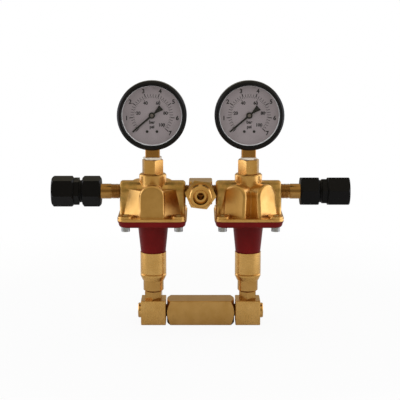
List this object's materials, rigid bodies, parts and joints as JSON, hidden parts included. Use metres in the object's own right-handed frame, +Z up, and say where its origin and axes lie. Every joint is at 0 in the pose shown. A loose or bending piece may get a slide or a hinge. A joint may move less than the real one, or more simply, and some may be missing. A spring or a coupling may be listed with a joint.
{
  "type": "automatic changeover regulator",
  "caption": "Twin gas pressure regulators joined by an outlet tee and a shuttle bar, each with a round gauge on top and a compression union at the side.",
  "frame": {"origin": "middle of the cross bar's underside, on the plane that the part stands on", "axes": "+X from the left inlet to the right inlet, -Y the way the gauges and the outlet face, +Z up"},
  "size_m": [0.2956, 0.068, 0.246],
  "materials": {
    "brass_cast": "blasted hot-forged brass",
    "brass_machined": "machined brass",
    "brass_satin": "satin turned brass",
    "brass_dark": "threaded brass, dulled",
    "red_paint": "semi-gloss dark red paint",
    "black_steel": "phosphated steel, oiled",
    "black_case": "satin black enamel on steel",
    "lens_clear": "clear flat window",
    "dial_face": "silver-grey printed dial",
    "pointer_black": "matt black enamel",
    "tube_bronze": "drawn phosphor bronze",
    "rubber": "fabric-reinforced nitrile",
    "spring_steel": "spring wire",
    "zinc_steel": "zinc plated",
    "ptfe_white": "white sealing washer"
  },
  "bodies": {
    "frame": {"cross_bar": "brass_machined", "elbow_plugs": "brass_machined", "flange_screws": "zinc_steel", "gauge_washers": "ptfe_white", "left_bonnet": "red_paint", "left_bourdon_tube": "tube_bronze", "left_diaphragm": "rubber", "left_elbow_block": "brass_machined", "left_gauge_adaptor": "brass_machined", "left_gauge_bezel": "black_case", "left_gauge_case": "black_case", "left_gauge_dial": "dial_face", "left_gauge_lens": "lens_clear", "left_gauge_socket": "brass_machined", "left_inlet_nipple": "brass_machined", "left_lower_adaptor": "brass_machined", "left_movement_frame": "brass_machined", "left_range_spring": "spring_steel", "left_regulator_body": "brass_cast", "left_spring_button": "zinc_steel", "left_spring_cap": "brass_satin", "left_union_body": "black_steel", "left_valve_seat": "brass_machined", "left_valve_spring": "spring_steel", "link_nipples": "brass_dark", "outlet_stud": "brass_machined", "outlet_tee": "brass_machined", "right_bonnet": "red_paint", "right_bourdon_tube": "tube_bronze", "right_diaphragm": "rubber", "right_elbow_block": "brass_machined", "right_gauge_adaptor": "brass_machined", "right_gauge_bezel": "black_case", "right_gauge_case": "black_case", "right_gauge_dial": "dial_face", "right_gauge_lens": "lens_clear", "right_gauge_socket": "brass_machined", "right_inlet_nipple": "brass_machined", "right_lower_adaptor": "brass_machined", "right_movement_frame": "brass_machined", "right_range_spring": "spring_steel", "right_regulator_body": "brass_cast", "right_spring_button": "zinc_steel", "right_spring_cap": "brass_satin", "right_union_body": "black_steel", "right_valve_seat": "brass_machined", "right_valve_spring": "spring_steel"},
    "left_valve": {"left_diaphragm_plate": "zinc_steel", "left_valve_poppet": "brass_machined"},
    "left_sector": {"left_gauge_sector": "brass_machined"},
    "left_pointer": {"left_gauge_pointer": "pointer_black"},
    "left_inner_nut": {"left_inlet_inner_nut": "black_steel"},
    "left_outer_nut": {"left_inlet_outer_nut": "black_steel"},
    "right_valve": {"right_diaphragm_plate": "zinc_steel", "right_valve_poppet": "brass_machined"},
    "right_sector": {"right_gauge_sector": "brass_machined"},
    "right_pointer": {"right_gauge_pointer": "pointer_black"},
    "right_inner_nut": {"right_inlet_inner_nut": "black_steel"},
    "right_outer_nut": {"right_inlet_outer_nut": "black_steel"},
    "shuttle": {"shuttle_piston": "brass_machined"}
  },
  "joints": [
    {"name": "left_valve_slide", "type": "slide", "parent": "frame", "child": "left_valve", "axis": [0, 0, 1], "range_m": [-0.001, 0], "stiffness_N_per_m": 300, "springref_m": 0.0005, "deforming": ["left_range_spring", "left_valve_spring"]},
    {"name": "left_sector_swing", "type": "hinge", "parent": "frame", "child": "left_sector", "pos_m": [-0.0475, 0, 0.1958], "axis": [0, 1, 0], "range_deg": [-33, 0], "stiffness_Nm_per_rad": 0.001, "springref_deg": 5.73},
    {"name": "left_pointer_turn", "type": "hinge", "parent": "frame", "child": "left_pointer", "pos_m": [-0.0475, 0, 0.212], "axis": [0, 1, 0], "range_deg": [0, 264]},
    {"name": "left_inner_nut_turn", "type": "hinge", "parent": "frame", "child": "left_inner_nut", "pos_m": [-0.1081, 0, 0.135], "axis": [1, 0, 0], "continuous": true},
    {"name": "left_outer_nut_turn", "type": "hinge", "parent": "frame", "child": "left_outer_nut", "pos_m": [-0.1368, 0, 0.135], "axis": [1, 0, 0], "continuous": true},
    {"name": "right_valve_slide", "type": "slide", "parent": "frame", "child": "right_valve", "axis": [0, 0, 1], "range_m": [-0.001, 0], "stiffness_N_per_m": 300, "springref_m": 0.0005, "deforming": ["right_range_spring", "right_valve_spring"]},
    {"name": "right_sector_swing", "type": "hinge", "parent": "frame", "child": "right_sector", "pos_m": [0.0475, 0, 0.1958], "axis": [0, 1, 0], "range_deg": [-33, 0], "stiffness_Nm_per_rad": 0.001, "springref_deg": 5.73},
    {"name": "right_pointer_turn", "type": "hinge", "parent": "frame", "child": "right_pointer", "pos_m": [0.0475, 0, 0.212], "axis": [0, 1, 0], "range_deg": [0, 264]},
    {"name": "right_inner_nut_turn", "type": "hinge", "parent": "frame", "child": "right_inner_nut", "pos_m": [0.1081, 0, 0.135], "axis": [1, 0, 0], "continuous": true},
    {"name": "right_outer_nut_turn", "type": "hinge", "parent": "frame", "child": "right_outer_nut", "pos_m": [0.1368, 0, 0.135], "axis": [1, 0, 0], "continuous": true},
    {"name": "shuttle_slide", "type": "slide", "parent": "frame", "child": "shuttle", "axis": [1, 0, 0], "range_m": [-0.006, 0.006]}
  ],
  "couplings": [
    {"joint": "left_pointer_turn", "follows": "left_sector_swing", "ratio": -8},
    {"joint": "right_pointer_turn", "follows": "right_sector_swing", "ratio": -8}
  ]
}
